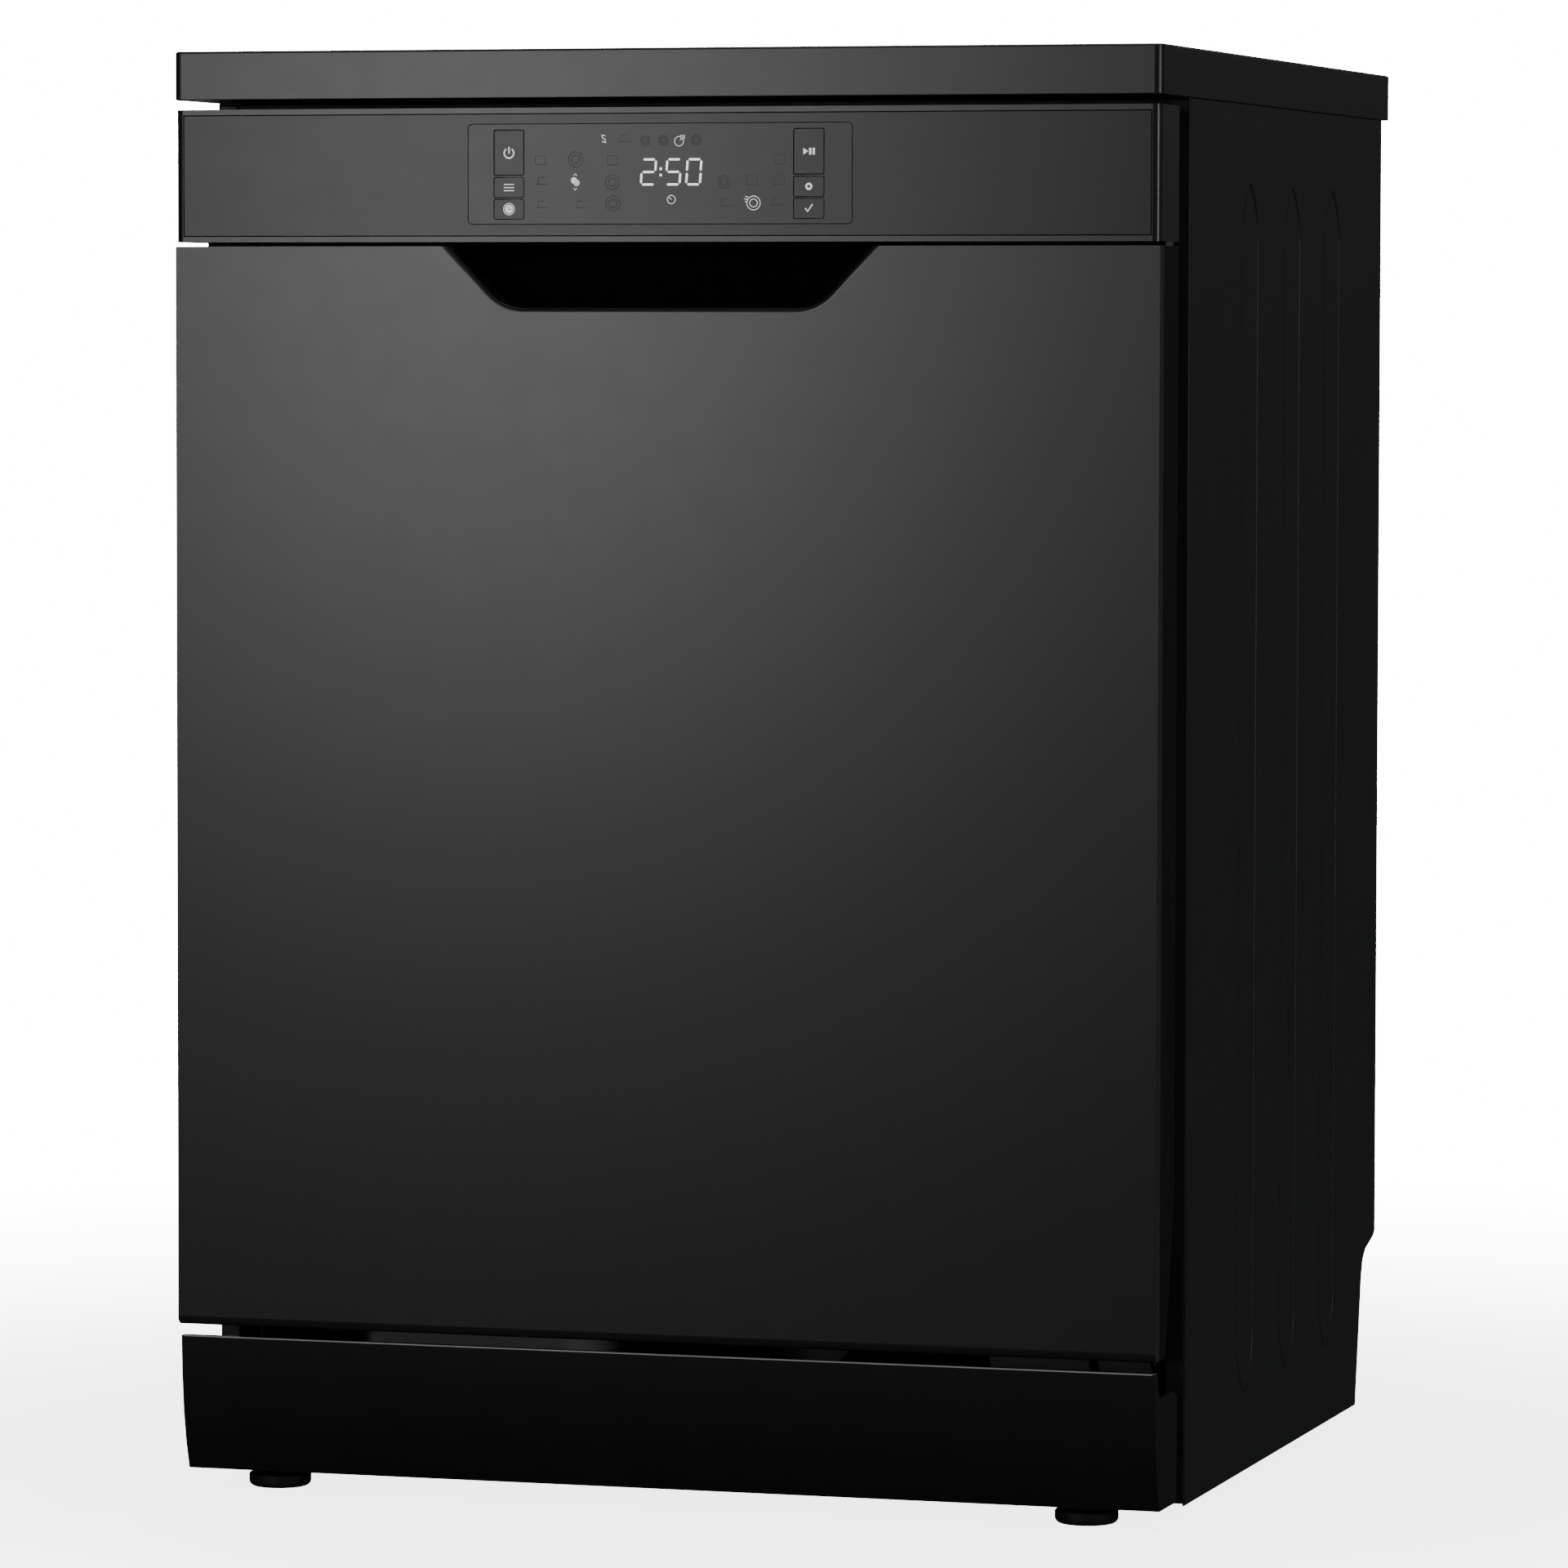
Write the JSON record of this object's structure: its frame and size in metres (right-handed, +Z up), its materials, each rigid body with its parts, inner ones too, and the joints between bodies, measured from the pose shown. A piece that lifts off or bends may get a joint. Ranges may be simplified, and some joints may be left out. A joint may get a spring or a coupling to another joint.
{
  "type": "dishwasher",
  "caption": "Free-standing 60 cm dishwasher with drop-down door, sliding racks, spray arms, touch console and levelling feet.",
  "frame": {"origin": "on the floor under the middle of the appliance", "axes": "+Z up, +Y to the rear, +X to the user's right when facing the door"},
  "size_m": [0.598, 0.6, 0.85],
  "materials": {
    "worktop_black": "satin black laminate",
    "black_enamel": "satin black powder coat",
    "console_black": "satin black moulding",
    "fascia_black": "satin black",
    "display_black": "smooth black window",
    "button_black": "satin black",
    "stainless": "brushed",
    "zinc_steel": "zinc plated",
    "tray_black": "moulded",
    "grey_plastic": "moulded",
    "light_plastic": "moulded",
    "rack_coat": "nylon coated wire",
    "seal_rubber": "matt",
    "felt": "pressed felt",
    "blue_cap": "moulded",
    "board_green": "solder mask",
    "clear_tank": "translucent moulding"
  },
  "bodies": {
    "cabinet": {"worktop": "worktop_black", "side_panel_left": "black_enamel", "side_panel_right": "black_enamel", "rear_panel": "zinc_steel", "rear_screws": "zinc_steel", "top_crossbars": "black_enamel", "base_tray": "tray_black", "kickplate": "black_enamel", "tub_wrapper": "stainless", "tub_rear_wall": "stainless", "tub_floor": "stainless", "tub_front_frame": "stainless", "door_gasket": "seal_rubber", "sound_insulation": "felt", "air_breaker": "clear_tank", "sump": "grey_plastic", "filter_plate": "stainless", "circulation_pump": "light_plastic", "drain_pump": "light_plastic", "water_softener": "light_plastic", "inlet_valve": "light_plastic", "drain_spigot": "grey_plastic", "terminal_box": "tray_black", "hinge_brackets": "zinc_steel", "balance_springs": "zinc_steel", "spray_feed_pipe": "grey_plastic", "upper_rails": "stainless", "door_strike": "stainless"},
    "door": {"door_outer_panel": "black_enamel", "door_liner": "stainless", "dispenser_body": "light_plastic", "console_housing": "console_black", "console_fascia": "fascia_black", "display_window": "display_black", "control_board": "board_green", "door_latch": "tray_black", "hinge_arms": "zinc_steel"},
    "lower_rack": {"lower_rack": "rack_coat", "cutlery_basket": "grey_plastic"},
    "upper_rack": {"upper_rack": "rack_coat", "upper_runners": "stainless"},
    "foot_front_left": {"foot_front_left": "tray_black"},
    "foot_front_right": {"foot_front_right": "tray_black"},
    "feet_rear": {"feet_rear": "tray_black"},
    "filter_cup": {"filter_cup": "light_plastic"},
    "salt_cap": {"salt_cap": "light_plastic"},
    "lower_spray_arm": {"lower_spray_arm": "grey_plastic"},
    "upper_spray_arm": {"upper_spray_arm": "grey_plastic"},
    "wheels_front": {"wheels_front": "grey_plastic"},
    "wheels_rear": {"wheels_rear": "grey_plastic"},
    "fold_tines": {"fold_tines": "rack_coat"},
    "cup_shelf": {"cup_shelf": "grey_plastic"},
    "dispenser_lid": {"dispenser_lid": "grey_plastic"},
    "rinse_aid_cap": {"rinse_aid_cap": "blue_cap"},
    "power_button": {"power_button": "button_black"},
    "menu_button": {"menu_button": "button_black"},
    "delay_button": {"delay_button": "button_black"},
    "start_button": {"start_button": "button_black"},
    "option_button": {"option_button": "button_black"},
    "confirm_button": {"confirm_button": "button_black"}
  },
  "joints": [
    {"name": "door_hinge", "type": "hinge", "parent": "cabinet", "child": "door", "pos_m": [0, -0.264, 0.131], "axis": [1, 0, 0], "range_deg": [0, 90], "stiffness_Nm_per_rad": 17},
    {"name": "upper_rack_slide", "type": "slide", "parent": "cabinet", "child": "upper_rack", "axis": [0, -1, 0], "range_m": [0, 0.44]},
    {"name": "lower_rack_slide", "type": "slide", "parent": "cabinet", "child": "lower_rack", "axis": [0, -1, 0], "range_m": [0, 0.126]},
    {"name": "wheels_front_roll", "type": "hinge", "parent": "lower_rack", "child": "wheels_front", "pos_m": [0, -0.12, 0.1733], "axis": [1, 0, 0], "continuous": true},
    {"name": "wheels_rear_roll", "type": "hinge", "parent": "lower_rack", "child": "wheels_rear", "pos_m": [0, 0.17, 0.1733], "axis": [1, 0, 0], "continuous": true},
    {"name": "lower_arm_spin", "type": "hinge", "parent": "cabinet", "child": "lower_spray_arm", "pos_m": [0, 0.013, 0.175], "axis": [0, 0, 1], "continuous": true},
    {"name": "upper_arm_spin", "type": "hinge", "parent": "upper_rack", "child": "upper_spray_arm", "pos_m": [0, 0.013, 0.479], "axis": [0, 0, 1], "continuous": true},
    {"name": "filter_twist", "type": "hinge", "parent": "cabinet", "child": "filter_cup", "pos_m": [0, -0.062, 0.15], "axis": [0, 0, 1], "range_deg": [0, 60]},
    {"name": "salt_cap_twist", "type": "hinge", "parent": "cabinet", "child": "salt_cap", "pos_m": [-0.19, -0.02, 0.15], "axis": [0, 0, 1], "range_deg": [0, 180]},
    {"name": "rinse_aid_cap_twist", "type": "hinge", "parent": "door", "child": "rinse_aid_cap", "pos_m": [0.055, -0.235, 0.495], "axis": [0, 1, 0], "range_deg": [0, 90]},
    {"name": "dispenser_lid_slide", "type": "slide", "parent": "door", "child": "dispenser_lid", "axis": [0, 0, 1], "range_m": [0, 0.06]},
    {"name": "fold_tines_fold", "type": "hinge", "parent": "lower_rack", "child": "fold_tines", "pos_m": [0.04, 0, 0.2165], "axis": [0, 1, 0], "range_deg": [-85, 0]},
    {"name": "cup_shelf_flip", "type": "hinge", "parent": "upper_rack", "child": "cup_shelf", "pos_m": [-0.246, 0, 0.652], "axis": [0, -1, 0], "range_deg": [0, 85]},
    {"name": "power_button_press", "type": "slide", "parent": "door", "child": "power_button", "axis": [0, 1, 0], "range_m": [0, 0.0012], "stiffness_N_per_m": 1600},
    {"name": "menu_button_press", "type": "slide", "parent": "door", "child": "menu_button", "axis": [0, 1, 0], "range_m": [0, 0.0012], "stiffness_N_per_m": 1600},
    {"name": "delay_button_press", "type": "slide", "parent": "door", "child": "delay_button", "axis": [0, 1, 0], "range_m": [0, 0.0012], "stiffness_N_per_m": 1600},
    {"name": "start_button_press", "type": "slide", "parent": "door", "child": "start_button", "axis": [0, 1, 0], "range_m": [0, 0.0012], "stiffness_N_per_m": 1600},
    {"name": "option_button_press", "type": "slide", "parent": "door", "child": "option_button", "axis": [0, 1, 0], "range_m": [0, 0.0012], "stiffness_N_per_m": 1600},
    {"name": "confirm_button_press", "type": "slide", "parent": "door", "child": "confirm_button", "axis": [0, 1, 0], "range_m": [0, 0.0012], "stiffness_N_per_m": 1600},
    {"name": "foot_front_left_screw", "type": "slide", "parent": "cabinet", "child": "foot_front_left", "axis": [0, 0, -1], "range_m": [-0.005, 0.04]},
    {"name": "foot_front_right_screw", "type": "slide", "parent": "cabinet", "child": "foot_front_right", "axis": [0, 0, -1], "range_m": [-0.005, 0.04]},
    {"name": "feet_rear_screw", "type": "slide", "parent": "cabinet", "child": "feet_rear", "axis": [0, 0, -1], "range_m": [-0.005, 0.04]}
  ],
  "couplings": [
    {"joint": "upper_rack_slide", "follows": "door_hinge", "m_per_rad": 0.28},
    {"joint": "lower_rack_slide", "follows": "door_hinge", "m_per_rad": 0.08},
    {"joint": "wheels_front_roll", "follows": "door_hinge", "ratio": 5.3333},
    {"joint": "wheels_rear_roll", "follows": "door_hinge", "ratio": 5.3333}
  ]
}
